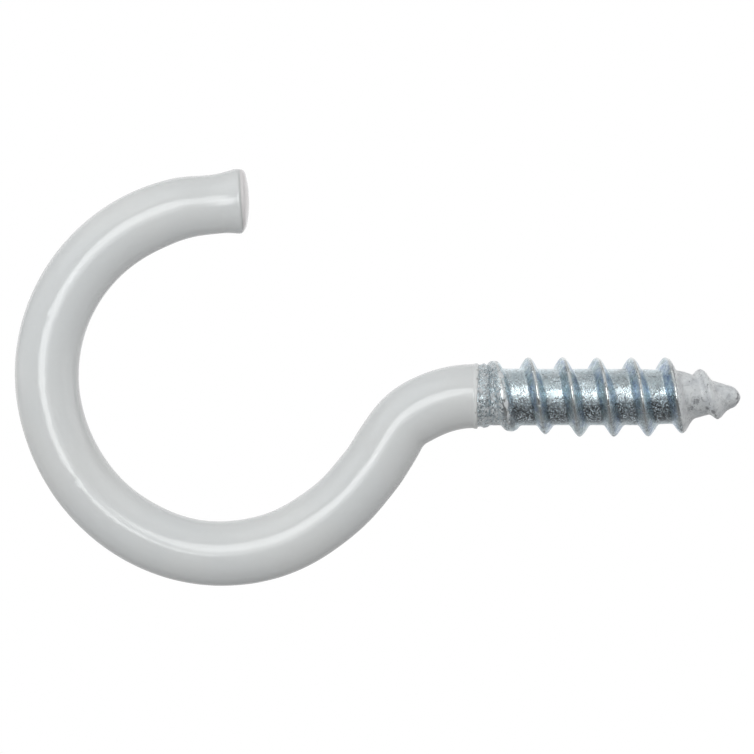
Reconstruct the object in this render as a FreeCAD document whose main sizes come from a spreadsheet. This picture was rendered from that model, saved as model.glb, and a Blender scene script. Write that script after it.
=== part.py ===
import FreeCAD, Part

import math
import operator
import os

import Sketcher

# A clothesline hook: one bent steel wire with a round open hook at one end and a rolled wood
# thread with a tapered, blunt point at the other. The hook is coated, the screw is bare.
#
# Millimetres and degrees. The origin is on the screw's axis at the edge of the coat, where the
# hook meets the wall. +X runs along the screw into the wall, and +Z is up. The hook lies in
# the XZ plane.

NODE = "screw_hook"

SIZES = {
    # The bare wire and its coat
    "wire_diameter": 5.76,
    "coat_thickness": 0.07,
    # The line that the wire follows, from the wall to its free end
    "seat_length": 0.59,
    "shoulder_radius": 9.2,
    "shoulder_turn": 44.0,
    "crook_radius": 4.3,
    "crook_turn": 10.8,
    "shank_length": 5.59,
    "ring_low_radius": 15.71,
    "ring_low_turn": 103.8,
    "ring_side_radius": 17.6,
    "ring_side_turn": 26.7,
    "ring_top_radius": 15.56,
    "ring_top_turn": 97.4,
    # The free end: a waist, a flared rim and a shallow dome over the cut wire
    "waist_depth": 0.22,
    "flare_radius": 6.4,
    "rim_height": 0.03,
    "rim_round": 0.42,
    "dome_inset": 0.28,
    "dome_height": 0.33,
    # The coat's raised edge
    "lip_length": 0.62,
    "lip_height": 0.1,
    "lip_slope": 0.2,
    "lip_round": 0.09,
    # The bare neck between the coat and the screw's core
    "neck_length": 0.92,
    # The screw's core, taper and point
    "core_depth": 0.27,
    "core_step": 0.14,
    "screw_length": 24.15,
    "taper_angle": 15.7,
    "point_radius": 1.14,
    # The thread's ridge, which also reaches into the core so that the two join in one solid
    "thread_pitch": 3.16,
    "thread_height": 1.05,
    "crest_width": 0.28,
    "crest_round": 0.16,
    "flank_angle": 27.0,
    "ridge_root": 0.45,
    # How the ridge begins beyond the neck, grows to its full height and ends near the point
    "first_crest": 0.54,
    "entry_height": 0.6,
    "entry_offset": 0.15,
    "offset_turns": 3.0,
    "growing_turns": 2.0,
    "fading_turns": 0.9,
    "exit_height": 0.67,
    "exit_gap": 0.57,
    "ridge_end_turns": 0.38,
    "ridge_end_depth": 0.3,
}

# The thread's rails: points in a turn, and its shortest face in turns
POINTS_PER_TURN = 12
SHORTEST_FACE = 0.1

# A sketch's own numbers: the points of a line or an arc by their places in this list, its
# horizontal axis, which stands for its origin too, its vertical axis and another sketch's edge
SPOTS = ["edge", "start", "end", "centre"]
HORIZONTAL_ID = ORIGIN_ID = -1
VERTICAL_ID = -2
OTHER_EDGE_ID = -3


class Formula:
    """A number, with the spreadsheet formula that gives it."""

    def __init__(self, value, text):
        self.value = value
        self.text = text

    def joined(self, sign, work, other):
        if not isinstance(other, Formula):
            other = Formula(other, str(other))
        return Formula(work(self.value, other.value), f"({self.text} {sign} {other.text})")

    def __add__(self, other):
        return self.joined("+", operator.add, other)

    def __sub__(self, other):
        return self.joined("-", operator.sub, other)

    def __mul__(self, other):
        return self.joined("*", operator.mul, other)

    def __truediv__(self, other):
        return self.joined("/", operator.truediv, other)

    def __neg__(self):
        return Formula(-self.value, f"-{self.text}")

    def as_angle(self):
        """Degrees as a sketch takes them: the number in radians, the formula with its unit."""
        return Formula(math.radians(self.value), f"{self.text} * 1 deg")


def size(name):
    return Formula(SIZES[name], f"Sizes.{name}")


ON_AXIS = Formula(0.0, "0")


def bare_radius():
    return size("wire_diameter") / 2


def coat_radius():
    return bare_radius() + size("coat_thickness")


def core_radius():
    return bare_radius() - size("core_depth")


def taper_start():
    """Where the core's taper starts along the screw. The point's ball is tangent to it."""
    slant = math.radians(SIZES["taper_angle"])
    point = SIZES["point_radius"]
    taper_end = SIZES["screw_length"] - point + point * math.sin(slant)
    return taper_end - (core_radius().value - point * math.cos(slant)) / math.tan(slant)


def make_sheet(doc):
    """The driving dimensions, one to a row, each with its name as the alias."""
    sheet = doc.addObject("Spreadsheet::Sheet", "Sizes")
    for row, (name, value) in enumerate(SIZES.items(), start=1):
        sheet.set(f"A{row}", name)
        sheet.set(f"B{row}", str(value))
        sheet.setAlias(f"B{row}", name)
    doc.recompute()


def polar(radius, degrees):
    angle = math.radians(degrees)
    return FreeCAD.Vector(radius * math.cos(angle), radius * math.sin(angle), 0)


class Outline:
    """A sketch on one of the body's own planes whose dimensions follow the spreadsheet."""

    def __init__(self, body, plane, name):
        self.sketch = body.newObject("Sketcher::SketchObject", name)
        origin_plane = next(o for o in body.Origin.OriginFeatures if o.Role == plane)
        self.sketch.AttachmentSupport = (origin_plane, [""])
        self.sketch.MapMode = "FlatFace"

    def line(self, start, end):
        return self.sketch.addGeometry(Part.LineSegment(start, end), False)

    def circle(self, centre, radius):
        shape = Part.Circle(centre, FreeCAD.Vector(0, 0, 1), radius)
        return self.sketch.addGeometry(shape, False)

    def arc(self, centre, radius, first, last):
        """An arc counter-clockwise from one angle to the other, in degrees."""
        circle = Part.Circle(centre, FreeCAD.Vector(0, 0, 1), radius)
        shape = Part.ArcOfCircle(circle, math.radians(first), math.radians(last))
        return self.sketch.addGeometry(shape, False)

    def fix(self, kind, *places):
        """Ties shapes together. Each shape's number may be followed by the word for its point."""
        numbers = [SPOTS.index(place) if place in SPOTS else place for place in places]
        return self.sketch.addConstraint(Sketcher.Constraint(kind, *numbers))

    def measure(self, kind, *places, formula):
        """A dimension that follows a formula."""
        number = self.fix(kind, *places, formula.value)
        self.sketch.setExpression(f"Constraints[{number}]", formula.text)

    def place(self, shape, end, along, out):
        """Places an end of a shape by its distances from the origin."""
        if along is ON_AXIS:
            self.fix("PointOnObject", shape, end, VERTICAL_ID)
        else:
            self.measure("DistanceX", ORIGIN_ID, "start", shape, end, formula=along)
        if out is ON_AXIS:
            self.fix("PointOnObject", shape, end, HORIZONTAL_ID)
        else:
            self.measure("DistanceY", ORIGIN_ID, "start", shape, end, formula=out)


def make_hook_line(body):
    """The wire's centre line: straight runs and arcs, each tangent to the one before.

    It starts at the origin and runs away from the wall. Returns the sketch, the last arc's
    name for other sketches, where the line ends and the way it points there, in degrees.
    """
    outline = Outline(body, "XZ_Plane", "hook_line")
    runs = [
        ("seat", "line"),
        ("shoulder", "left"),
        ("crook", "left"),
        ("shank", "line"),
        ("ring_low", "right"),
        ("ring_side", "right"),
        ("ring_top", "right"),
    ]
    here = FreeCAD.Vector(0, 0, 0)
    heading = 180.0
    last = None
    for name, kind in runs:
        start, end = ("end", "start") if kind == "right" else ("start", "end")
        if kind == "line":
            length = size(f"{name}_length")
            there = here + polar(length.value, heading)
            shape = outline.line(here, there)
            outline.measure("Distance", shape, formula=length)
        else:
            radius = size(f"{name}_radius")
            turn = size(f"{name}_turn")
            side = 1 if kind == "left" else -1
            centre = here + polar(radius.value, heading + 90 * side)
            first = heading - 90 * side
            last_angle = first + turn.value * side
            there = centre + polar(radius.value, last_angle)
            shape = outline.arc(centre, radius.value, min(first, last_angle), max(first, last_angle))
            outline.measure("Radius", shape, formula=radius)
            outline.measure("Angle", shape, formula=turn.as_angle())
            heading += turn.value * side
        if last is None:
            outline.fix("Coincident", shape, start, ORIGIN_ID, "start")
            outline.fix("Horizontal", shape)
        else:
            outline.fix("Tangent", *last, shape, start)
        here = there
        last = (shape, end)
    return outline.sketch, f"Edge{shape + 1}", here, heading


def make_wire(body, hook_line):
    """The coated wire along its line, up to where the free end's own shape begins."""
    section = Outline(body, "YZ_Plane", "wire_section")
    circle = section.circle(FreeCAD.Vector(0, 0, 0), coat_radius().value)
    section.fix("Coincident", circle, "centre", ORIGIN_ID, "start")
    section.measure("Radius", circle, formula=coat_radius())
    wire = body.newObject("PartDesign::AdditivePipe", "wire")
    wire.Profile = section.sketch
    wire.Spine = hook_line


def make_screw_blank(body):
    """The turned shape about the screw's axis: coat edge, neck, core, taper and point."""
    outline = Outline(body, "XZ_Plane", "screw_outline")
    coat = coat_radius()
    lip = coat + size("lip_height")
    lip_start = -size("lip_length")
    neck = bare_radius()
    neck_end = size("neck_length")

    # The corners from the axis inside the coat to where the core starts
    corners = [
        (lip_start, ON_AXIS),
        (lip_start, coat),
        (lip_start + size("lip_slope"), lip),
        (-size("lip_round"), lip),
        (ON_AXIS, lip - size("lip_round")),
        (ON_AXIS, neck),
        (neck_end, neck),
        (neck_end + size("core_step"), core_radius()),
    ]
    points = [FreeCAD.Vector(along.value, out.value, 0) for along, out in corners]
    slant = size("taper_angle")
    point = size("point_radius")
    ball = FreeCAD.Vector(SIZES["screw_length"] - point.value, 0, 0)
    tip = FreeCAD.Vector(SIZES["screw_length"], 0, 0)
    taper_from = FreeCAD.Vector(taper_start(), core_radius().value, 0)
    taper_to = ball + polar(point.value, 90 - slant.value)

    points += [taper_from, taper_to]
    lines = [outline.line(start, end) for start, end in zip(points, points[1:])]
    core_line, taper_line = lines[-2:]
    point_arc = outline.arc(ball, point.value, 0, 90 - slant.value)
    axis_line = outline.line(tip, points[0])

    for line, (along, out) in zip(lines, corners):
        outline.place(line, "start", along, out)
    for line, after in zip(lines, lines[1:]):
        outline.fix("Coincident", line, "end", after, "start")
    outline.fix("Horizontal", core_line)
    outline.measure("Angle", taper_line, formula=-slant.as_angle())
    outline.fix("Tangent", taper_line, "end", point_arc, "end")
    outline.measure("Radius", point_arc, formula=point)
    outline.fix("PointOnObject", point_arc, "centre", HORIZONTAL_ID)
    outline.place(point_arc, "start", size("screw_length"), ON_AXIS)
    outline.fix("Coincident", point_arc, "start", axis_line, "start")
    outline.fix("Coincident", axis_line, "end", lines[0], "start")

    blank = body.newObject("PartDesign::Revolution", "screw_blank")
    blank.Profile = outline.sketch
    blank.ReferenceAxis = (outline.sketch, ["H_Axis"])
    blank.Angle = 360


def make_free_end(body, hook_line, last_arc, start, heading):
    """The hook's free end, turned about the wire's own line: waist, flare, rim and dome."""
    outline = Outline(body, "XZ_Plane", "end_outline")
    outline.sketch.addExternal(hook_line.Name, last_arc)

    coat = coat_radius()
    flare = size("flare_radius")
    rim_round = size("rim_round")
    rim = coat + size("rim_height")
    dome = rim - size("dome_inset")
    flare_out = coat - size("waist_depth") + flare
    rim_out = rim - rim_round
    dome_height = size("dome_height")
    dome_radius = (dome * dome + dome_height * dome_height) / (dome_height * 2)

    def at(along, out):
        """A point by its distance along the wire's line and out from it."""
        return start + polar(along, heading) + polar(out, heading + 90)

    # The wire eases down to its waist by one arc and flares out again by another. The two are
    # equal and meet where both slope the same way. The rim's arc is tangent to the second.
    ease_turn = math.acos(1 - SIZES["waist_depth"] / (2 * flare.value))
    flare_along = 2 * flare.value * math.sin(ease_turn)
    both = flare.value + rim_round.value
    flare_turn = math.acos((flare_out.value - rim_out.value) / both)
    rim_along = flare_along + both * math.sin(flare_turn)
    rim_turn = math.asin((dome.value - rim_out.value) / rim_round.value)
    dome_turn = math.asin(dome.value / dome_radius.value)
    end = rim_along + rim_round.value * math.cos(rim_turn) + dome_height.value

    def arc(along, out, radius, first, last):
        angles = (heading + math.degrees(first), heading + math.degrees(last))
        return outline.arc(at(along, out), radius, *angles)

    quarter = math.pi / 2
    base = outline.line(start, at(0, coat.value))
    ease = arc(0, coat.value - flare.value, flare.value, quarter - ease_turn, quarter)
    bell = arc(
        flare_along, flare_out.value, flare.value, -quarter - ease_turn, -quarter + flare_turn
    )
    rim_arc = arc(rim_along, rim_out.value, rim_round.value, rim_turn, quarter + flare_turn)
    dome_arc = arc(end - dome_radius.value, 0, dome_radius.value, 0, dome_turn)
    axis_line = outline.line(at(end, 0), start)

    outline.fix("Tangent", axis_line, "end", OTHER_EDGE_ID, "start")
    outline.fix("Coincident", base, "start", axis_line, "end")
    outline.fix("Perpendicular", base, axis_line)
    outline.measure("Distance", base, formula=coat)
    outline.fix("Coincident", base, "end", ease, "end")
    outline.fix("PointOnObject", ease, "centre", base)
    outline.measure("Radius", ease, formula=flare)
    outline.fix("Tangent", ease, "start", bell, "start")
    outline.measure("Radius", bell, formula=flare)
    outline.measure("Distance", bell, "centre", axis_line, formula=flare_out)
    outline.fix("Tangent", bell, "end", rim_arc, "end")
    outline.measure("Radius", rim_arc, formula=rim_round)
    outline.measure("Distance", rim_arc, "centre", axis_line, formula=rim_out)
    outline.fix("Coincident", rim_arc, "start", dome_arc, "end")
    outline.measure("Distance", dome_arc, "end", axis_line, formula=dome)
    outline.measure("Radius", dome_arc, formula=dome_radius)
    outline.fix("PointOnObject", dome_arc, "centre", axis_line)
    outline.fix("Coincident", dome_arc, "start", axis_line, "start")

    free_end = body.newObject("PartDesign::Revolution", "free_end")
    free_end.Profile = outline.sketch
    free_end.ReferenceAxis = (outline.sketch, [f"Edge{axis_line + 1}"])
    free_end.Angle = 360


def eased(share):
    """A smooth step from 0 to 1."""
    share = min(max(share, 0.0), 1.0)
    return share * share * (3 - 2 * share)


def make_thread(doc):
    """The thread's ridge, a right-hand helix that grows, keeps its height and fades out.

    Its height above the core changes along the helix, which a sweep of one section can't do,
    so its faces are ruled between rails, the corner lines of its section. Turns are counted
    from the first crest, which is on top.
    """
    sheet = doc.getObject("Sizes")

    def value(name):
        return float(sheet.get(name))

    core = core_radius().value
    slope = math.tan(math.radians(value("taper_angle")))
    flank = math.tan(math.radians(value("flank_angle")))
    pitch = value("thread_pitch")
    start = value("neck_length") + value("first_crest")
    first_turn = -value("ridge_end_turns")
    last_turn = (value("screw_length") - value("exit_gap") - start) / pitch
    taper_turn = (taper_start() - start) / pitch

    def crest_height(turn):
        full = value("thread_height")
        growth = eased(turn / value("growing_turns"))
        grown = value("entry_height") + (full - value("entry_height")) * growth
        fade = eased((turn - taper_turn) / value("fading_turns"))
        faded = full - (full - value("exit_height")) * fade
        offset = value("entry_offset") * (1 - eased(turn / value("offset_turns")))
        height = min(grown, faded) + offset * math.cos(2 * math.pi * turn)
        shown = eased((turn - first_turn) / value("ridge_end_turns"))
        shown *= eased((last_turn - turn) / value("ridge_end_turns"))
        return (height + value("ridge_end_depth")) * shown - value("ridge_end_depth")

    def corners(turn):
        """The section at a turn: distances along the screw and out from its axis."""
        middle = start + pitch * turn
        root = core - max(middle - taper_start(), 0.0) * slope
        height = crest_height(turn)
        depth = value("ridge_root")
        drop = min(value("crest_round"), (height + depth) / 2)
        crest = value("crest_width") / 2
        shoulder = crest + value("crest_round")
        foot = shoulder + (height - drop + depth) * flank
        half = [(foot, -depth), (shoulder, height - drop), (crest, height)]
        wall_side = [(middle - along, root + out) for along, out in half]
        point_side = [(middle + along, root + out) for along, out in reversed(half)]
        return wall_side + point_side

    steps = math.ceil((last_turn - first_turn) * POINTS_PER_TURN)
    turns = [first_turn + (last_turn - first_turn) * step / steps for step in range(steps + 1)]
    sections = []
    for turn in turns:
        # A right-hand thread goes from the top down the -Y side
        angle = 2 * math.pi * turn
        out = FreeCAD.Vector(0, -math.sin(angle), math.cos(angle))
        sections.append([FreeCAD.Vector(x, 0, 0) + out * radius for x, radius in corners(turn)])

    rails = []
    for points in zip(*sections):
        curve = Part.BSplineCurve()
        curve.interpolate(Points=list(points), Parameters=turns)
        rails.append(curve)

    # Faces of half a turn each, which end at the screw's sides
    stops = [first_turn]
    side = 0.25
    while side < last_turn - SHORTEST_FACE:
        stops.append(side)
        side += 0.5
    stops.append(last_turn)
    faces = []
    for begin, stop in zip(stops, stops[1:]):
        edges = [rail.toShape(begin, stop) for rail in rails]
        faces += [Part.makeRuledSurface(a, b) for a, b in zip(edges, edges[1:] + edges[:1])]
    for section in (sections[0], sections[-1]):
        faces.append(Part.Face(Part.makePolygon(section + section[:1])))
    shell = Part.makeShell(faces)
    shell.sewShape()
    ridge = Part.makeSolid(shell)
    if ridge.Volume < 0:
        ridge.reverse()

    thread = doc.addObject("Part::Feature", "thread_ridge")
    thread.Shape = ridge
    thread.Placement = FreeCAD.Placement()
    return thread


def check(doc, node):
    """Stops with a message if any object failed or the node isn't one sound solid."""
    for item in doc.Objects:
        if "Invalid" in item.State or "Error" in item.State:
            raise RuntimeError(f"{item.Name} failed: {item.State}")
    shape = node.Shape
    if shape.isNull() or not shape.isValid():
        raise RuntimeError(f"{node.Label} has no valid shape")
    if len(shape.Solids) != 1:
        raise RuntimeError(f"{node.Label} has {len(shape.Solids)} solids")
    # About half of the ridge stands out of the core
    if shape.Volume < node.Base.Shape.Volume + node.Tool.Shape.Volume / 3:
        raise RuntimeError("the thread's ridge is missing")


def main():
    os.makedirs("parts", exist_ok=True)
    doc = FreeCAD.newDocument("clothesline_hook")
    make_sheet(doc)

    body = doc.addObject("PartDesign::Body", "blank")
    hook_line, last_arc, end, heading = make_hook_line(body)
    doc.recompute()
    make_wire(body, hook_line)
    make_screw_blank(body)
    doc.recompute()
    make_free_end(body, hook_line, last_arc, end, heading)
    doc.recompute()

    hook = doc.addObject("Part::Fuse", NODE)
    hook.Label = NODE
    hook.Base = body
    hook.Tool = make_thread(doc)
    hook.Placement = FreeCAD.Placement()
    doc.recompute()

    check(doc, hook)
    hook.Shape.exportStep(f"parts/{NODE}.step")
    print(f"{NODE}: {hook.Shape.Volume:.1f} mm3")


main()
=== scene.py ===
"""The looks of a clothesline hook: a glossy coated wire ring and a bright zinc wood screw.

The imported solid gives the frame. Two finer pieces stand for it: the coated hook, with the
ripples and the raised edge of its coat, and the bare screw, with its rolled thread, its rough
neck and the remains of coat on its point. Lengths are in millimetres until a mesh is made.
"""

import math

import bpy
import numpy as np
from mathutils import Matrix, Vector, noise


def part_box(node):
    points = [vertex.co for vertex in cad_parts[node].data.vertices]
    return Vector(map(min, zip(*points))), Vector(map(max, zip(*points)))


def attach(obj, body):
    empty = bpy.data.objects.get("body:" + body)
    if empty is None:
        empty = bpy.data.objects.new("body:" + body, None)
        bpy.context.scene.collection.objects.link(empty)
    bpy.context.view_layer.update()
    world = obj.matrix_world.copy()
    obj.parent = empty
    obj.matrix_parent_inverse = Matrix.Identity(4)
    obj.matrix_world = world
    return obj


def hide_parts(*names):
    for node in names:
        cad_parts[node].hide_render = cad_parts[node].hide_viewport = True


MM = 0.001
NODE = "screw_hook"

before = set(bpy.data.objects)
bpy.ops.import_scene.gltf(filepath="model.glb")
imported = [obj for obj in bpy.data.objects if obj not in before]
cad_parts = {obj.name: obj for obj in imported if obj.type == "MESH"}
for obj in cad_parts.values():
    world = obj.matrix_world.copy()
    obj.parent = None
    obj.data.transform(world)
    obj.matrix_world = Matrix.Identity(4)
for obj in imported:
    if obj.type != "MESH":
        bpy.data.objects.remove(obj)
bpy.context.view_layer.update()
LOW, HIGH = (np.array(corner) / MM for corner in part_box(NODE))

# The camera looks along +Y at the middle of the part, a little left of it and above
VIEW_DISTANCE = 370.0
VIEW_WIDTH = 69.37
VIEW_SHIFT = (-0.052, 0.055)
SENSOR_WIDTH = 36.0

# The wire's line from the wall: a length with no turn for a straight run, and a radius with a
# turn in degrees for an arc, positive to the left as seen from the front
WIRE_RADIUS = 2.95
WIRE_RUNS = [
    (0.59, 0),
    (9.662, 30.0),
    (6.6, 24.8),
    (5.579, 0),
    (15.71, -103.8),
    (17.6, -26.7),
    (15.56, -97.4),
    (4.92, 0),
]
WIRE_AROUND = 144

# The free end: a waist, a flare to a rounded rim, and a low dome over the cut wire
WAIST_DROP = 0.22
WAIST_LEAD = 1.6
FLARE_RADIUS = 6.4
RIM_ROUND = 0.55
RIM_RADIUS = WIRE_RADIUS + 0.04
DOME_RADIUS = RIM_RADIUS - 0.41
DOME_HEIGHT = 0.3

# The coat's raised edge at the wall, and the crease where it wraps over the cut wire
LIP_HEIGHT = 0.075
LIP_LENGTH = 0.5
LIP_ROUND = 0.14
CREASE_DEPTH = 0.03

# The screw. Turns of the thread are counted from its first crest, which is on top.
SCREW_LENGTH = HIGH[0]
SCREW_AROUND = 240
CREST_RADIUS = HIGH[1]
NECK_RADIUS = 2.88
NECK_LENGTH = 0.92
CORE_RADIUS = 2.59
TAPER_START = 17.94
TAPER_ANGLE = 15.7
NOSE_LENGTH = 1.3
NOSE_RADIUS = 1.15
PITCH = 3.16
FIRST_CREST = 1.46
LAST_TURN = 6.88
FULL_HEIGHT = CREST_RADIUS - CORE_RADIUS - 0.01

# How far the coated hook stays inside the solid's box
BOX_GAP = 0.003

# The stage: lamps round the part, a floor below it and a room of cards round them
LAMP_DISTANCE = 420.0
FLOOR_DROP = 55.0
FLOOR_REACH = 360.0
ROOM_REACH = 560.0


def eased(share):
    """A smooth step from 0 to 1."""
    share = np.clip(share, 0.0, 1.0)
    return share * share * (3 - 2 * share)


def smooth_min(a, b, reach):
    """The smaller of two, rounded where they cross."""
    near = np.maximum(reach - np.abs(a - b), 0.0) / reach
    return np.minimum(a, b) - near * near * reach / 4


def smooth_max(a, b, reach):
    """The larger of two, rounded where they cross."""
    return -smooth_min(-a, -b, reach)


def bump_at(where, middle, width):
    """A smooth bump of height 1."""
    return np.exp(-(((where - middle) / width) ** 2))


def largest(*fields):
    """The largest of several fields, place by place."""
    return np.maximum.reduce(np.broadcast_arrays(*fields))


def grain(points, size, seed, octaves=3):
    """Noise from about -1 to 1 at each point, with features about size across."""
    offset = Vector((seed * 17.3, seed * 5.1, seed * 9.7))
    flat = points.reshape(-1, 3) / size
    values = [noise.fractal(Vector(p) + offset, 1.0, 2.0, octaves) for p in flat]
    return np.array(values).reshape(points.shape[:-1])


def stations_between(marks):
    """Stations from mark to mark, each with its own spacing: (mark, spacing up to the next)."""
    stations = []
    for (start, spacing), (stop, _) in zip(marks, marks[1:]):
        count = max(1, round((stop - start) / spacing))
        stations += [start + (stop - start) * i / count for i in range(count)]
    return np.array(stations + [marks[-1][0]])


def tube(name, rings, start, end):
    """A closed mesh over rings of points, with a pole at each end."""
    count, around = rings.shape[:2]
    points = np.concatenate([rings.reshape(-1, 3), [start, end]]) * MM
    ring = np.arange(count - 1)[:, None] * around
    here = np.arange(around)[None, :]
    there = (here + 1) % around
    quads = np.stack([ring + here, ring + around + here, ring + around + there, ring + there], -1)
    faces = quads.reshape(-1, 4).tolist()
    first_pole = count * around
    last_ring = (count - 1) * around
    for i in range(around):
        j = (i + 1) % around
        faces.append([first_pole, i, j])
        faces.append([first_pole + 1, last_ring + j, last_ring + i])
    mesh = bpy.data.meshes.new(name)
    mesh.from_pydata(points.tolist(), [], faces)
    mesh.shade_smooth()
    mesh.validate()
    piece = bpy.data.objects.new(name, mesh)
    bpy.context.scene.collection.objects.link(piece)
    return piece


def paint(piece, name, values):
    """Keeps a number for each point of a tube's rings, for its material."""
    attribute = piece.data.attributes.new(name, "FLOAT", "POINT")
    whole = np.concatenate([values.ravel(), [values[0].mean(), values[-1].mean()]])
    attribute.data.foreach_set("value", whole.astype(np.float32))


def run_length(measure, turn):
    """How long one of the wire's runs is."""
    return measure * math.radians(abs(turn)) if turn else measure


def wire_place(station):
    """The wire's middle (x, z) and heading at a distance from the wall."""
    here = np.zeros(2)
    heading = math.pi
    left = station
    for number, (measure, turn) in enumerate(WIRE_RUNS, start=1):
        is_last = number == len(WIRE_RUNS)
        step = left if is_last else min(left, run_length(measure, turn))
        if turn:
            side = math.copysign(1, turn)
            to_centre = np.array([-math.sin(heading), math.cos(heading)]) * side * measure
            bend = side * step / measure
            cos, sin = math.cos(bend), math.sin(bend)
            away = -to_centre
            turned = np.array([cos * away[0] - sin * away[1], sin * away[0] + cos * away[1]])
            here = here + to_centre + turned
            heading += bend
        else:
            here = here + np.array([math.cos(heading), math.sin(heading)]) * step
        left -= step
        if left <= 0:
            break
    return here[0], here[1], heading


# Where the free end's forms lie along the wire: the end's start from the wall, and the waist,
# the rim and the dome from that start. Two arcs of the flare's radius would draw the wire in
# to the waist, and the flare's arc meets the rim's at FLARE_TURN.
END_START = sum(run_length(*run) for run in WIRE_RUNS[:-1]) - 0.1
WAIST_AT = 2 * FLARE_RADIUS * math.sin(math.acos(1 - WAIST_DROP / (2 * FLARE_RADIUS)))
FLARE_MIDDLE = WIRE_RADIUS - WAIST_DROP + FLARE_RADIUS
RIM_MIDDLE = RIM_RADIUS - RIM_ROUND
FLARE_TURN = math.acos((FLARE_MIDDLE - RIM_MIDDLE) / (FLARE_RADIUS + RIM_ROUND))
RIM_AT = WAIST_AT + (FLARE_RADIUS + RIM_ROUND) * math.sin(FLARE_TURN)
RIM_TURN = math.asin((DOME_RADIUS - RIM_MIDDLE) / RIM_ROUND)
DOME_AT = RIM_AT + RIM_ROUND * math.cos(RIM_TURN)
CREASE_AT = END_START + RIM_AT + 0.14


def wire_profile():
    """Places along the free end's own measure, and the coated wire's radius at each.

    The measure is 0 where the free end starts and negative before it.
    """
    stations = stations_between([(0.0, 0.03), (0.24, 0.06), (1.5, 0.25), (END_START, 0.1),
                                 (END_START + RIM_AT - 0.3, 0.03), (END_START + RIM_AT, 0.03)])
    along = stations - END_START
    radius = np.full_like(along, WIRE_RADIUS)
    radius -= WAIST_DROP * eased((along + WAIST_LEAD) / (WAIST_AT + WAIST_LEAD))
    flaring = along > WAIST_AT
    past_waist = along[flaring] - WAIST_AT
    radius[flaring] = FLARE_MIDDLE - np.sqrt(FLARE_RADIUS**2 - past_waist**2)
    on_rim = along > WAIST_AT + FLARE_RADIUS * math.sin(FLARE_TURN)
    radius[on_rim] = RIM_MIDDLE + np.sqrt(RIM_ROUND**2 - (RIM_AT - along[on_rim]) ** 2)

    # Round the rim, then over the dome towards the wire's middle
    turns = np.linspace(math.pi / 2, RIM_TURN, 14)[1:]
    rim = [(RIM_AT + RIM_ROUND * math.cos(t), RIM_MIDDLE + RIM_ROUND * math.sin(t)) for t in turns]
    shares = np.linspace(1.0, 0.0, 22)[1:-1]
    dome = [(DOME_AT + DOME_HEIGHT * (1 - share**2), DOME_RADIUS * share) for share in shares]
    closing_along, closing_radius = np.array(rim + dome).T
    along = np.concatenate([along, closing_along])
    radius = np.concatenate([radius, closing_radius])

    # The coat's raised edge: a shallow swelling with a rounded corner at the wall
    stations = along + END_START
    lip = LIP_HEIGHT * eased((LIP_LENGTH - stations) / 0.28)
    in_corner = np.maximum(LIP_ROUND - stations, 0.0)
    corner = LIP_ROUND - np.sqrt(np.maximum(LIP_ROUND**2 - in_corner**2, 0.0))
    radius = radius + lip - corner
    radius = radius - CREASE_DEPTH * bump_at(stations, CREASE_AT, 0.09)
    return along, radius


def spot_on_wire(station, angles, at, angle, width):
    """A round spot of height 1 on the wire, at a distance from the wall and an angle."""
    turn = (np.degrees(angles)[None, :] - angle + 180) % 360 - 180
    aside = np.radians(turn) * WIRE_RADIUS
    return np.exp(-((station - at) ** 2 + aside**2) / width**2)


def unevenness(rings, station, angles):
    """How far the coat stands out from an even tube, as any bent and dipped wire's does."""
    waves = 0.012 * grain(rings, 6.5, 1, 2) + 0.005 * grain(rings, 1.6, 2, 2)

    # Shallow dents: distance from the wall, angle round the wire, width, depth
    dents = [
        (60.1, 82.0, 0.36, 0.03), (59.4, 87.0, 0.4, -0.022), (54.0, 83.0, 0.4, 0.018),
        (53.3, 86.0, 0.3, -0.014), (50.6, 82.0, 0.35, 0.014), (47.0, 86.0, 0.3, 0.014),
        (45.2, 89.0, 0.35, -0.016), (44.3, 85.0, 0.3, 0.014), (43.0, 88.0, 0.3, -0.014),
        (33.5, 92.0, 0.9, 0.012), (29.0, 96.0, 0.8, -0.01), (68.0, 80.0, 0.7, 0.01),
    ]
    for at, angle, width, depth in dents:
        waves = waves - depth * spot_on_wire(station, angles, at, angle, width)
    waves = waves * eased(END_START + DOME_AT + DOME_HEIGHT - station)

    # The bends aren't true arcs: the side that swells or draws in, distance from the wall,
    # width, height
    outer_side = ((1 + np.cos(angles)) / 2)[None, :] ** 2
    inner_side = ((1 - np.cos(angles)) / 2)[None, :] ** 2
    swellings = [
        (outer_side, 7.8, 1.3, -0.17), (outer_side, 12.2, 1.7, 0.12),
        (outer_side, 19.0, 3.2, -0.12), (outer_side, 40.0, 6.0, -0.09),
        (outer_side, 50.0, 4.0, -0.05), (outer_side, 80.3, 1.6, 0.09),
        (inner_side, 12.3, 1.5, -0.14), (inner_side, 20.0, 3.4, 0.15),
        (inner_side, 26.5, 3.0, 0.08), (inner_side, 37.0, 3.6, 0.08),
        (inner_side, 76.4, 2.4, -0.2), (inner_side, 80.6, 0.9, 0.07),
    ]
    for side, at, width, swell in swellings:
        waves = waves + swell * bump_at(station, at, width) * side
    return waves


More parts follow.
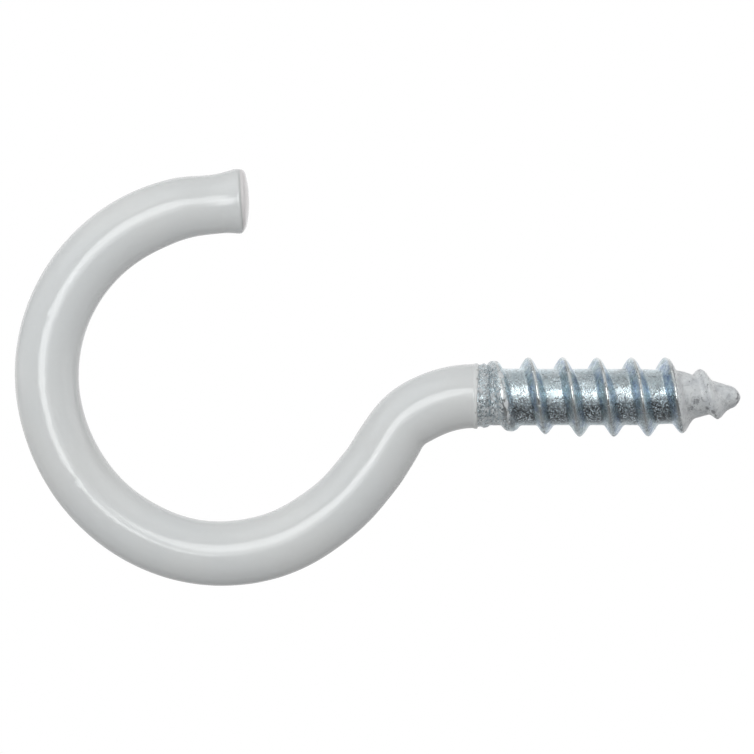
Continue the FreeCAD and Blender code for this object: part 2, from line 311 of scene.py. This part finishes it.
def make_coated_hook():
    """The coated wire from its raised edge at the wall round to its flared free end."""
    along, radius = wire_profile()
    stations = along + END_START
    station = stations[:, None]
    angles = 2 * math.pi * np.arange(WIRE_AROUND) / WIRE_AROUND
    cos_around, sin_around = np.cos(angles), np.sin(angles)

    # The wire's middle line, which strays from its arcs a little at both ends. Angles round
    # the wire start on the ring's outer side and turn to the front.
    x, z, heading = np.array([wire_place(distance) for distance in stations]).T
    zero = np.zeros_like(x)
    outward = np.stack([-np.sin(heading), zero, np.cos(heading)], -1)
    forward = np.stack([np.cos(heading), zero, np.sin(heading)], -1)
    front = np.array([0.0, -1.0, 0.0])
    middle = np.stack([x, zero, z], -1)
    middle[:, 2] += 0.09 * eased(1 - stations / 5.0)
    middle = middle + 0.06 * eased((along - 2.0) / 2.0)[:, None] * outward
    spread = cos_around[None, :, None] * outward[:, None, :]
    spread = spread + sin_around[None, :, None] * front

    # The rim is softer on its outer and inner sides than at the front and back
    outer_side = np.maximum(cos_around, 0.0) ** 2
    inner_side = np.maximum(-cos_around, 0.0) ** 2
    softening = 0.3 * eased((along - RIM_AT + 0.1) / 1.1)[:, None] * outer_side
    softening = softening + 0.2 * eased((along - RIM_AT + 0.35) / 0.8)[:, None] * inner_side
    softening = softening * np.clip(radius / WIRE_RADIUS, 0, 1)[:, None]
    soft_radius = radius[:, None] * (1 - softening / 2.6)
    rings = middle[:, None, :] + soft_radius[..., None] * spread

    # The cut end isn't quite square to the wire
    tilt = 0.045 * eased((along - 2.5) / 1.5) + 0.05 * eased((along - RIM_AT - 0.05) / 0.4)
    shift = tilt[:, None] * radius[:, None] * cos_around
    rings = rings + shift[..., None] * forward[:, None, :]

    # The coat's edge at the wall is ragged, and set back at the front and back
    waves = unevenness(rings, station, angles)
    ragged = 0.05 * bump_at(station, 0.0, 0.25) * grain(rings, 0.9, 3, 3)
    setback = 0.01 - 0.05 * cos_around - 0.13 * sin_around**2
    rings = rings + waves[..., None] * spread
    rings[..., 0] += ragged + setback * eased(1 - station / 0.6)
    rings = np.clip(rings, LOW + BOX_GAP, HIGH - BOX_GAP)

    # Two rings more close the edge inwards, inside the screw's neck
    inner_rings = []
    for share, depth in ((0.9, 0.25), (0.93, 0.0)):
        ring = middle[:1, None, :] + NECK_RADIUS * share * spread[:1]
        ring[..., 0] -= depth
        inner_rings.append(ring)
    rings = np.concatenate(inner_rings + [rings])
    start = middle[0] - np.array([0.25, 0.0, 0.0])
    end = middle[-1] + forward[-1] * 0.002
    piece = tube("coated_hook", rings, start, end)

    # Painted shade in the crease, except on top, and a few dark specks at the wall
    crease = bump_at(station, CREASE_AT, 0.09)
    shade_and_grime = 0.5 * crease * (1 - 0.9 * bump_at(cos_around, 1.0, 0.25))
    specks = [(0.12, 143.0, 0.09), (0.05, 122.0, 0.12), (0.2, 60.0, 0.08), (0.1, 250.0, 0.1)]
    for at, angle, width in specks:
        shade_and_grime = shade_and_grime + spot_on_wire(station, angles, at, angle, width)
    # The cut end past the crease is painted paler and pinker: painted light
    cut = np.broadcast_to(eased((station - CREASE_AT) / 0.08), shade_and_grime.shape)
    clean = np.zeros((len(inner_rings), WIRE_AROUND))
    paint(piece, "shade_and_grime", np.clip(np.concatenate([clean, shade_and_grime]), 0, 1))
    paint(piece, "cut", np.concatenate([clean, cut]))
    return piece


def crest_height(turn):
    """The thread's height above the core: it starts low, grows and fades near the point."""
    entry_height, exit_height = 0.54, 0.75
    share = np.clip(turn / 2.0, 0.0, 1.0)
    grown = entry_height + (FULL_HEIGHT - entry_height) * (1.5 * share - 0.5 * share**2)
    grown = grown + 0.13 * bump_at(turn, 5.0, 0.45)
    faded = FULL_HEIGHT - (FULL_HEIGHT - exit_height) * eased((turn - 5.45) / 0.6)
    faded = faded + 0.3 * bump_at(turn, 5.0, 0.3) - 0.08 * eased((turn - 6.1) / 0.4)
    lean = 0.17 * (1 - eased((turn - 1.3) / 0.9)) * np.cos(2 * math.pi * turn)
    shown = eased((turn + 0.45) / 0.45) * eased((LAST_TURN - turn) / 0.42)
    return np.maximum(np.minimum(grown, faded) + lean, 0.0) * shown


def thread_shape(turn, away, height):
    """The ridge at a distance from its crest: flat-topped on the first turn, then a tooth."""
    flank, tip = 2.0, 0.32
    flat_reach = 0.6 + 0.24 * bump_at(turn, 0.5, 0.3)
    flat = height * (1 - (away / flat_reach) ** 3.2)
    steep = flank * (1 + 0.13 * np.cos(2 * math.pi * turn))
    tooth = height - steep * (np.hypot(away, tip) - tip)
    early = 1 - eased((np.abs(turn) - 0.35) / 0.65)
    return np.maximum(tooth + (flat - tooth) * early, -1.0)


def make_thread(x, share):
    """The ridge's height above the core, and a mask of its crest line.

    On the last turns the crest lies a little past its pitch, and coat fills the ridge's foot.
    """
    ridge = np.zeros_like(x)
    crest_line = np.zeros_like(x)
    foot = 0.3 + 0.25 * eased((x - 18.6) / 1.6)
    for lap in range(-1, math.ceil(LAST_TURN) + 1):
        turn = lap + share
        height = crest_height(turn)
        past = x - FIRST_CREST - PITCH * turn - 0.12 * eased((turn - 5.55) / 0.5)
        away = np.abs(past)
        filled = foot + 0.48 * eased((turn - 5.5) / 0.4) * eased(past / 0.3)
        shape = smooth_max(thread_shape(turn, away, height), np.zeros_like(x), filled)
        ridge = np.maximum(ridge, np.where(height > 0.01, shape, 0.0))
        crest_line = np.maximum(crest_line, bump_at(away, 0.0, 0.15) * eased(height / 0.4))
    return ridge, crest_line


def round_axis(x, radius, share):
    """Points round the screw's axis, by the share of a turn from the top towards the front."""
    angle = 2 * math.pi * share
    return np.stack([x, -radius * np.sin(angle), radius * np.cos(angle)], -1)


def chips_on_point(x, radius, share):
    """Dark chips and dots in the coat of the point."""
    # Distance from the wall, place round the point (-1 on top, 0 in front, 1 underneath,
    # 2 behind), width, strength
    chips = [
        (19.33, -0.45, 0.1, 0.8), (18.6, -0.75, 0.12, 0.6), (19.9, 0.12, 0.55, 0.6),
        (19.5, 0.3, 0.5, 0.54), (20.5, 0.1, 0.45, 0.46), (21.0, 0.4, 0.26, 0.75),
        (21.5, 0.45, 0.3, 0.8), (23.84, -0.3, 0.15, 0.75), (23.8, 0.1, 0.16, 0.85),
        (23.8, 0.55, 0.18, 0.75), (20.3, -0.98, 0.3, 0.45), (20.9, -0.3, 0.5, 0.28),
        (22.6, 0.3, 0.5, 0.36), (18.9, 0.6, 0.3, 0.38), (20.6, 1.6, 0.6, 0.4),
        (19.6, 2.2, 0.6, 0.4), (22.2, -1.3, 0.5, 0.4),
    ]
    dark = np.zeros_like(x)
    for at, place, width, strength in chips:
        around_at = (0.25 + 0.25 * place) % 1.0
        aside = ((share - around_at + 0.5) % 1.0 - 0.5) * 2 * math.pi * radius
        spot = np.exp(-(((x - at) ** 2 + aside**2) / width**2))
        dark = np.maximum(dark, strength * spot)
    return dark


def make_screw():
    """The bare screw, with a rough film of coat on its neck and coat left on its point.

    It starts a little before the wall, hidden in the coated hook.
    """
    hidden = 0.6
    along = stations_between([(-hidden, 0.2), (-0.1, 0.062), (SCREW_LENGTH - 0.5, 0.03),
                              (SCREW_LENGTH - 0.08, 0.01), (SCREW_LENGTH - 0.004, 0.01)])
    shares = np.arange(SCREW_AROUND) / SCREW_AROUND
    x, share = np.meshgrid(along, shares, indexing="ij")

    # Neck, core, taper and nose, and a lump of coat on top past the last full crest
    core = CORE_RADIUS - 0.16 * eased((x - 14.5) / 4.0) + 0.03 * (1 - eased((x - 4.0) / 3.0))
    taper = CORE_RADIUS - 0.16 - (x - TAPER_START) * math.tan(math.radians(TAPER_ANGLE))
    core = smooth_min(core, taper, 0.25) + 0.08 * eased((x - 17.0) / 1.2)
    nose_start = SCREW_LENGTH - NOSE_LENGTH
    nose_share = np.clip((x - nose_start) / NOSE_LENGTH, 0, 1)
    nose = NOSE_RADIUS * (1 - nose_share**2) ** 0.72 + 0.35 * np.maximum(nose_start - x, 0)
    lump = 0.035 * bump_at(x, 18.9, 0.9)
    core = smooth_min(core, nose, 0.12) + lump
    neck = NECK_RADIUS + 0.09 * bump_at(x, 0.56, 0.17) - 0.03 * bump_at(x, 0.2, 0.12)
    blank = core + (neck - core) * eased((NECK_LENGTH + 0.25 - x) / 0.35)
    ridge, crest_line = make_thread(x, share)
    radius = np.maximum(blank, core + ridge)
    points = round_axis(x, radius, share)

    # Coat is left on the point, past the last full crest, in crumbs on the neck and in blocks
    # along the first crest
    from_top = np.minimum(share, 1 - share)
    edge = FIRST_CREST + PITCH * (5 + from_top) + 0.08
    blotch = grain(points, 1.1, 4, 4)
    point_coat = eased((x - edge + 0.03 * blotch) / 0.1)
    first_turn = np.where(share > 0.67, share - 1.0, share)
    from_crest = x - FIRST_CREST - PITCH * first_turn
    film = eased((0.1 - from_crest) / 0.35)
    blocks = bump_at(from_crest, 0.12, 0.3) * eased((0.46 - first_turn) / 0.1)
    blocks = np.clip(blocks * (0.6 + 0.5 * grain(points, 0.5, 5, 3)), 0, 1)
    coat = largest(point_coat, 0.48 * film, blocks)

    # Painted glints and dark reflection between the crests, mostly along the lower front, and wear
    glints_and_wear = 1.5 * bump_at(share, 0.345, 0.066) * (0.85 + 0.5 * grain(points, 1.6, 11, 2))
    glints_and_wear = glints_and_wear + 0.3 * eased(1.6 * grain(points, 2.4, 12, 2))
    glints_and_wear = np.clip(largest(glints_and_wear * eased((x - 2.0) / 0.8), 0.15 * film), 0, 1)
    slope = eased(ridge / 0.25) * (1 - crest_line) * eased((x - 2.6) / 1.4)
    glints_and_wear = glints_and_wear * (1 - 0.85 * slope) * (1 - crest_line)

    # Dirt and painted shade: chips, painted shade in a line past the last crest and under the
    # crests, the coat's edge, the rim of the tip and the crumbs on the neck
    past_last_foot = x - FIRST_CREST - PITCH * (6 + share) + 0.25
    root_shade_line = bump_at(past_last_foot, 0.0, 0.16) * eased((0.42 - share) / 0.1)
    coat_edge = bump_at(x - edge, 0.03, 0.07)
    # The lower side, where painted shade darkens the crests' undersides
    underside = bump_at(share, 0.43, 0.09)
    shade_under_crest = underside * crest_line * eased(0.5 + 2 * grain(points, 0.6, 13, 2))
    tip_rim = bump_at(x, SCREW_LENGTH - 0.3, 0.1) * eased(0.5 + 1.6 * grain(points, 0.35, 10, 3))
    shade_and_grime = largest(chips_on_point(x, radius, share), 0.4 * root_shade_line, 0.58 * coat_edge,
                    0.72 * shade_under_crest, 0.85 * tip_rim, 0.34 * film)
    shade_and_grime = np.clip(shade_and_grime, 0, 1)

    # Fine roughness, most of it in the crumbs of the film. The neck sits a little high, the
    # point droops, and the lump is lifted to stand on top only.
    rough = 0.008 * grain(points, 0.3, 6, 3) + 0.012 * grain(points, 1.3, 7, 3)
    rough = rough + film * 0.035 * grain(points, 0.32, 8, 3)
    rough = rough + 0.025 * point_coat * (1 + 0.5 * blotch) - 0.04 * shade_and_grime
    shown = eased((x + 0.05) / 0.1) * eased((SCREW_LENGTH - x) / 0.25)
    radius = np.minimum(radius + rough * shown, CREST_RADIUS - 0.002)
    points = round_axis(x, radius, share)
    points[..., 2] += 0.13 * eased((1.4 - x) / 0.9) - 0.03 * eased((x - 22.2) / 1.5) + lump

    start = np.array([-hidden, 0.0, 0.0])
    end = np.array([SCREW_LENGTH - 0.001, 0.0, 0.0])
    piece = tube("zinc_screw", points, start, end)
    paint(piece, "coat", coat)
    # The crest's pale line, kept off its underside, is a painted highlight
    paint(piece, "crest", crest_line * (1 - 0.75 * underside))
    paint(piece, "slope", slope)
    paint(piece, "glints_and_wear", glints_and_wear)
    paint(piece, "shade_and_grime", shade_and_grime)
    return piece


def rgb(red, green, blue):
    """A colour as a socket takes it."""
    return (red, green, blue, 1.0)


class Nodes:
    """A node tree whose nodes are made in one line each."""

    def __init__(self, tree):
        self.tree = tree
        tree.nodes.clear()

    def add(self, kind, inputs=(), **settings):
        """A node of a kind, with values or other nodes' sockets for its inputs."""
        made = self.tree.nodes.new(kind)
        for name, value in settings.items():
            setattr(made, name, value)
        for name, value in dict(inputs).items():
            socket = made.inputs[name]
            if isinstance(value, bpy.types.NodeSocket):
                self.tree.links.new(value, socket)
            else:
                socket.default_value = value
        return made

    def noise(self, size, detail=3.0, roughness=0.5):
        """Noise from 0 to 1 over the object's own space, with features about size mm across."""
        place = self.add("ShaderNodeTexCoord").outputs["Object"]
        values = {"Vector": place, "Scale": 1 / (size * MM), "Detail": detail,
                  "Roughness": roughness}
        return self.add("ShaderNodeTexNoise", values).outputs["Fac"]

    def attribute(self, name):
        """What was painted on the piece under a name."""
        return self.add("ShaderNodeAttribute", attribute_name=name).outputs["Fac"]

    def math(self, operation, a, b=0.0):
        """The result of an operation on one or two values."""
        return self.add("ShaderNodeMath", {0: a, 1: b}, operation=operation).outputs[0]

    def between(self, value, low, high, to_low=0.0, to_high=1.0):
        """A smooth step of value from low to high, between two results."""
        values = {"Value": value, "From Min": low, "From Max": high, "To Min": to_low,
                  "To Max": to_high}
        made = self.add("ShaderNodeMapRange", values, interpolation_type="SMOOTHSTEP")
        return made.outputs["Result"]

    def mix(self, share, a, b):
        """Colour a where the share is 0, and colour b where it is 1."""
        return self.add("ShaderNodeMix", {0: share, 6: a, 7: b}, data_type="RGBA").outputs[2]

    def tinted(self, base, colour, mask, amount):
        """The base with some of another colour, by an amount, where a mask is 1."""
        return self.mix(self.math("MULTIPLY", mask, amount), base, colour)

    def bump(self, height, depth, normal=None):
        """A bump whose height runs from 0 to depth mm."""
        values = {"Height": height, "Distance": depth * MM, "Strength": 1.0}
        if normal is not None:
            values["Normal"] = normal
        return self.add("ShaderNodeBump", values).outputs["Normal"]

    def surface(self, shader, output="ShaderNodeOutputMaterial"):
        """Makes a shader the surface of the tree's material or world."""
        self.add(output, {"Surface": shader.outputs[0]})


def new_material(name):
    """A material with a name, and its empty node tree."""
    material = bpy.data.materials.new(name)
    material.use_nodes = True
    return material, Nodes(material.node_tree)


def coat_material():
    """Glossy off-white coat, slightly uneven, with painted shade in the crease and a pinker cut
    end that is painted light.
    """
    cool_white = rgb(0.679, 0.692, 0.697)
    warm_white = rgb(0.694, 0.702, 0.701)
    speckled = rgb(0.63, 0.64, 0.64)
    cut_end_sheen = rgb(0.74, 0.715, 0.72)
    shade_and_dirt = rgb(0.2, 0.21, 0.2)

    material, nodes = new_material("glossy_coat")
    cloud = nodes.between(nodes.noise(9.0, 3.0), 0.35, 0.65)
    colour = nodes.mix(cloud, cool_white, warm_white)
    speckle = nodes.between(nodes.noise(0.5, 2.0), 0.3, 0.75)
    colour = nodes.tinted(colour, speckled, speckle, 0.12)
    # The cut end's paler, pinker colour is painted light
    colour = nodes.mix(nodes.attribute("cut"), colour, cut_end_sheen)
    # Painted shade in the crease, and the dark specks at the wall
    colour = nodes.tinted(colour, shade_and_dirt, nodes.attribute("shade_and_grime"), 0.8)
    gloss = nodes.between(nodes.noise(2.2, 3.0), 0.3, 0.7, 0.13, 0.18)
    peel = nodes.bump(nodes.noise(1.1, 2.0, 0.4), 0.006)
    peel = nodes.bump(nodes.noise(0.22, 2.0, 0.5), 0.0006, peel)
    nodes.surface(nodes.add("ShaderNodeBsdfPrincipled", {
        "Base Color": colour, "Roughness": gloss, "Normal": peel, "IOR": 1.52}))
    return material


def screw_material():
    """Bluish zinc plate, mottled and scratched, with dull grey coat where the mesh says."""
    material, nodes = new_material("zinc_plate")
    ragged = nodes.math("MULTIPLY", nodes.noise(0.3, 4.0, 0.75), 0.5)
    coat = nodes.math("ADD", nodes.attribute("coat"), ragged)
    coat = nodes.between(coat, 0.7, 0.78)
    glints_and_wear = nodes.attribute("glints_and_wear")
    crest = nodes.attribute("crest")

    # Zinc: cloudy, darker and bluer on the thread's flanks, and stained, with painted glints and
    # black flecks of painted dark reflection along the lower front, and a painted crest highlight
    cloud = nodes.between(nodes.noise(1.5, 4.0, 0.6), 0.35, 0.65)
    zinc = nodes.mix(cloud, rgb(0.69, 0.80, 0.85), rgb(0.78, 0.87, 0.91))
    hue = nodes.between(nodes.noise(1.2, 1.0), 0.38, 0.62)
    flank = nodes.mix(hue, rgb(0.37, 0.47, 0.66), rgb(0.40, 0.50, 0.53))
    mottle = nodes.between(nodes.noise(0.45, 4.0, 0.6), 0.35, 0.65, 0.2, 0.95)
    zinc = nodes.tinted(zinc, flank, nodes.attribute("slope"), mottle)
    stain = nodes.between(nodes.noise(0.3, 5.0, 0.75), 0.54, 0.64)
    zinc = nodes.tinted(zinc, rgb(0.2, 0.215, 0.22), stain, 0.65)
    # Painted glints, and black flecks of painted dark reflection, in the lower front band
    zinc = nodes.tinted(zinc, rgb(0.84, 0.93, 0.99), glints_and_wear, 0.9)
    fleck = nodes.between(nodes.noise(0.17, 3.0, 0.8), 0.42, 0.52)
    fleck = nodes.math("MULTIPLY", fleck, glints_and_wear)
    zinc = nodes.tinted(zinc, rgb(0.08, 0.085, 0.09), fleck, 0.95)
    # A painted highlight along the crest
    zinc = nodes.tinted(zinc, rgb(0.79, 0.80, 0.79), crest, 0.85)

    # Coat: dull and cloudy, with a few hairlines and dark specks
    cloud = nodes.between(nodes.noise(0.8, 4.0, 0.6), 0.35, 0.7)
    dull = nodes.mix(cloud, rgb(0.70, 0.718, 0.73), rgb(0.54, 0.56, 0.582))
    hairline = nodes.math("ABSOLUTE", nodes.math("SUBTRACT", nodes.noise(2.0, 1.0), 0.5))
    hairline = nodes.between(hairline, 0.0, 0.012, 1.0, 0.0)
    broken = nodes.between(nodes.noise(0.9, 1.0), 0.47, 0.54)
    hairline = nodes.math("MULTIPLY", hairline, broken)
    dull = nodes.tinted(dull, rgb(0.3, 0.31, 0.33), hairline, 0.45)
    specks = nodes.between(nodes.noise(0.25, 3.0, 0.6), 0.6, 0.68)
    dull = nodes.tinted(dull, rgb(0.3, 0.3, 0.31), specks, 0.5)
    colour = nodes.mix(coat, zinc, dull)

    # Dirt and painted shade over both, broken up by fine noise
    fine = nodes.math("SUBTRACT", nodes.noise(0.18, 4.0, 0.75), 0.5)
    fine = nodes.math("MULTIPLY", fine, 1.8)
    shade_and_dirt = nodes.math("ADD", nodes.attribute("shade_and_grime"), fine)
    shade_and_dirt = nodes.between(shade_and_dirt, 0.4, 0.55)
    colour = nodes.tinted(colour, rgb(0.17, 0.175, 0.19), shade_and_dirt, 0.75)

    bare = nodes.math("SUBTRACT", 1.0, coat)
    gloss = nodes.between(nodes.noise(0.9, 4.0, 0.6), 0.35, 0.65, 0.15, 0.3)
    gloss = nodes.math("ADD", gloss, nodes.math("MULTIPLY", coat, 0.1))

    # The plate is grainier in some patches, most of all in the band of painted glints and wear,
    # and smoother on the crests and under the coat. Hairlines cross both.
    grainy = nodes.between(nodes.noise(2.2, 2.0), 0.38, 0.62, 0.25, 0.5)
    grainy = nodes.math("ADD", grainy, nodes.math("MULTIPLY", glints_and_wear, 2.2))
    smooth = nodes.math("MAXIMUM", crest, nodes.math("MULTIPLY", coat, 0.5))
    smooth = nodes.math("SUBTRACT", 1.0, nodes.math("MULTIPLY", smooth, 0.85))
    grainy = nodes.math("MULTIPLY", grainy, smooth)
    pits = nodes.math("MULTIPLY", nodes.noise(0.19, 3.0, 0.75), grainy)
    pits = nodes.bump(pits, 0.12)
    pits = nodes.bump(hairline, 0.03, pits)
    nodes.surface(nodes.add("ShaderNodeBsdfPrincipled", {
        "Base Color": colour, "Metallic": bare, "Roughness": gloss, "Normal": pits,
        "IOR": 1.75}))
    return material


def make_camera():
    """The camera, level and square to the plane of the hook."""
    middle = (LOW + HIGH) / 2
    data = bpy.data.cameras.new("camera")
    data.sensor_width = SENSOR_WIDTH
    data.lens = SENSOR_WIDTH * VIEW_DISTANCE / VIEW_WIDTH
    data.clip_start = 10 * MM
    camera = bpy.data.objects.new("camera", data)
    across, up = middle[0] + VIEW_SHIFT[0], middle[2] + VIEW_SHIFT[1]
    camera.location = Vector((across, -VIEW_DISTANCE, up)) * MM
    camera.rotation_euler = (math.pi / 2, 0, 0)
    bpy.context.scene.collection.objects.link(camera)
    bpy.context.scene.camera = camera


def add_light(name, toward, size, brightness, colour, roll=0.0, mirrored=True):
    """A soft oval lamp that shines at the part, with a brightness for its surface.

    Its direction is in degrees to the right of -Y and up, and roll turns it about that
    direction. Reflections show it only if it is mirrored.
    """
    right, up = (math.radians(angle) for angle in toward)
    level = math.cos(up)
    direction = Vector((math.sin(right) * level, -math.cos(right) * level, math.sin(up)))
    data = bpy.data.lights.new(name, "AREA")
    data.shape = "ELLIPSE"
    data.size, data.size_y = size[0] * MM, size[1] * MM
    area = math.pi / 4 * data.size * data.size_y
    data.energy = brightness * math.pi * area
    data.color = colour
    lamp = bpy.data.objects.new(name, data)
    middle = Vector((LOW + HIGH) / 2)
    lamp.location = (middle + direction * LAMP_DISTANCE) * MM
    facing = direction.to_track_quat("Z", "Y").to_matrix()
    rolled = Matrix.Rotation(math.radians(roll), 3, "Z")
    lamp.rotation_euler = (facing @ rolled).to_euler()
    lamp.visible_camera = False
    lamp.visible_glossy = mirrored
    bpy.context.scene.collection.objects.link(lamp)


def background_rays(nodes):
    """1 for the rays that see the background: camera, glossy and transmission rays."""
    path = nodes.add("ShaderNodeLightPath").outputs
    seen = nodes.math("MAXIMUM", path["Is Camera Ray"], path["Is Glossy Ray"])
    return nodes.math("MAXIMUM", seen, path["Is Transmission Ray"])


def light_scene():
    """Soft studio light: four key lamps left of the camera, and weaker fills all round."""
    cool = (0.98, 1.0, 1.0)
    warm = (1.0, 1.0, 0.985)
    large = (380.0, 380.0)
    add_light("key_left", (-17.9, -0.8), (255.0, 118.0), 4.25, cool, roll=-40.0)
    add_light("key_low", (-5.5, -1.8), (120.0, 62.0), 0.9, cool, roll=-40.0)
    add_light("key_halo", (-12.0, 4.5), (270.0, 220.0), 0.95, cool)
    add_light("key_top", (-9.0, 17.6), (210.0, 205.0), 4.1, cool)
    add_light("fill_top_left", (-55.0, 50.0), large, 0.75, cool)
    add_light("fill_top_right", (55.0, 50.0), large, 0.55, cool)
    add_light("fill_left", (-85.0, 5.0), large, 0.3, cool)
    add_light("fill_right", (85.0, 5.0), large, 0.8, warm)
    add_light("fill_back", (180.0, 12.0), large, 0.8, cool, mirrored=False)

    # The background is white, and lights the part less from the front than from behind
    world = bpy.data.worlds.new("world")
    world.use_nodes = True
    bpy.context.scene.world = world
    nodes = Nodes(world.node_tree)
    toward = nodes.add("ShaderNodeTexCoord").outputs["Generated"]
    depth = nodes.add("ShaderNodeSeparateXYZ", {"Vector": toward}).outputs["Y"]
    behind = nodes.between(depth, -0.25, 0.25)
    room = nodes.mix(behind, rgb(0.27, 0.27, 0.27), rgb(0.64, 0.64, 0.64))
    shade = nodes.mix(background_rays(nodes), room, rgb(1.0, 1.0, 1.0))
    light = nodes.add("ShaderNodeBackground", {"Color": shade, "Strength": 1.0})
    nodes.surface(light, "ShaderNodeOutputWorld")


def add_plate(name, corners):
    """A flat four-cornered piece of the stage."""
    mesh = bpy.data.meshes.new(name)
    mesh.from_pydata([Vector(corner) * MM for corner in corners], [], [[0, 1, 2, 3]])
    plate = bpy.data.objects.new(name, mesh)
    bpy.context.scene.collection.objects.link(plate)
    return plate


def add_floor(height):
    """A pale floor that takes the part's shadow and fades into the background all round.

    It glows too, so that it looks white wherever the shadow doesn't fall.
    """
    reach = FLOOR_REACH
    floor = add_plate("floor", [(-reach, -reach, height), (reach, -reach, height),
                                (reach, reach, height), (-reach, reach, height)])
    material, nodes = new_material("floor")
    place = nodes.add("ShaderNodeTexCoord").outputs["Object"]
    away = nodes.add("ShaderNodeVectorMath", {0: place, 1: (1, 1, 0)}, operation="MULTIPLY")
    away = nodes.add("ShaderNodeVectorMath", {0: away.outputs[0]}, operation="LENGTH")
    fade = nodes.between(away.outputs["Value"], 0.55 * reach * MM, 0.95 * reach * MM)
    diffuse = nodes.add("ShaderNodeBsdfDiffuse", {"Color": rgb(0.4, 0.4, 0.4)})
    glow = nodes.add("ShaderNodeEmission", {"Color": rgb(1, 1, 1), "Strength": 0.62})
    lit = nodes.add("ShaderNodeAddShader", {0: diffuse.outputs[0], 1: glow.outputs[0]})
    white = nodes.add("ShaderNodeEmission", {"Color": rgb(1, 1, 1), "Strength": 1.0})
    seen = nodes.add("ShaderNodeMixShader", {0: fade, 1: lit.outputs[0], 2: white.outputs[0]})
    nodes.surface(nodes.add("ShaderNodeMixShader", {
        0: background_rays(nodes), 1: diffuse.outputs[0], 2: seen.outputs[0]}))
    floor.data.materials.append(material)


def add_card(name, corners, shade):
    """A card that only reflections see. It shines by itself, alike under every lamp."""
    card = add_plate(name, corners)
    material, nodes = new_material(name)
    grey = rgb(shade, shade, shade)
    nodes.surface(nodes.add("ShaderNodeEmission", {"Color": grey, "Strength": 1.0}))
    card.data.materials.append(material)
    card.visible_camera = False
    card.visible_diffuse = False
    card.visible_shadow = False


def make_stage():
    """A pale floor well below the part, and a darker room round it that its gloss reflects."""
    floor_height = LOW[2] - FLOOR_DROP
    add_floor(floor_height)

    # Level cards just above the floor and far above the part, in strips from front to back
    far = ROOM_REACH
    low = floor_height + 4.0
    level_cards = [
        ("dark_below", low, (-far, -60.0), 0.12),
        ("dusk_below", low, (-60.0, 0.0), 0.19),
        ("mid_below", low, (0.0, 60.0), 0.38),
        ("grey_below", low, (60.0, 260.0), 0.65),
        ("grey_above", far, (-far, 60.0), 0.17),
        ("pale_above", far, (60.0, far), 0.6),
    ]
    for name, height, (front, back), shade in level_cards:
        add_card(name, [(-far, front, height), (far, front, height), (far, back, height),
                        (-far, back, height)], shade)
    add_card("dark_front", [(-far, -far, low), (far, -far, low), (far, -far, far),
                            (-far, -far, far)], 0.13)

    # Upright cards on the left and right: dark near the camera, and paler at mid height behind
    side_cards = [
        ("dark_", (-far, -20.0), (low, far), 1.0),
        ("low_", (-20.0, 460.0), (low, -30.0), 1.9),
        ("pale_", (-20.0, 460.0), (-30.0, 80.0), 4.4),
        ("high_", (-20.0, 460.0), (80.0, far), 2.2),
    ]
    for side_name, side, shade in (("left", -far, 0.16), ("right", far, 0.13)):
        for name, (front, back), (bottom, top), lift in side_cards:
            add_card(name + side_name, [(side, front, bottom), (side, back, bottom),
                                        (side, back, top), (side, front, top)], shade * lift)


bpy.context.scene.view_settings.view_transform = "Standard"
make_camera()
light_scene()
make_stage()

hook = make_coated_hook()
hook.data.materials.append(coat_material())
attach(hook, "root")
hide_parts(NODE)

screw = make_screw()
screw.data.materials.append(screw_material())
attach(screw, "root")
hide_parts(NODE)
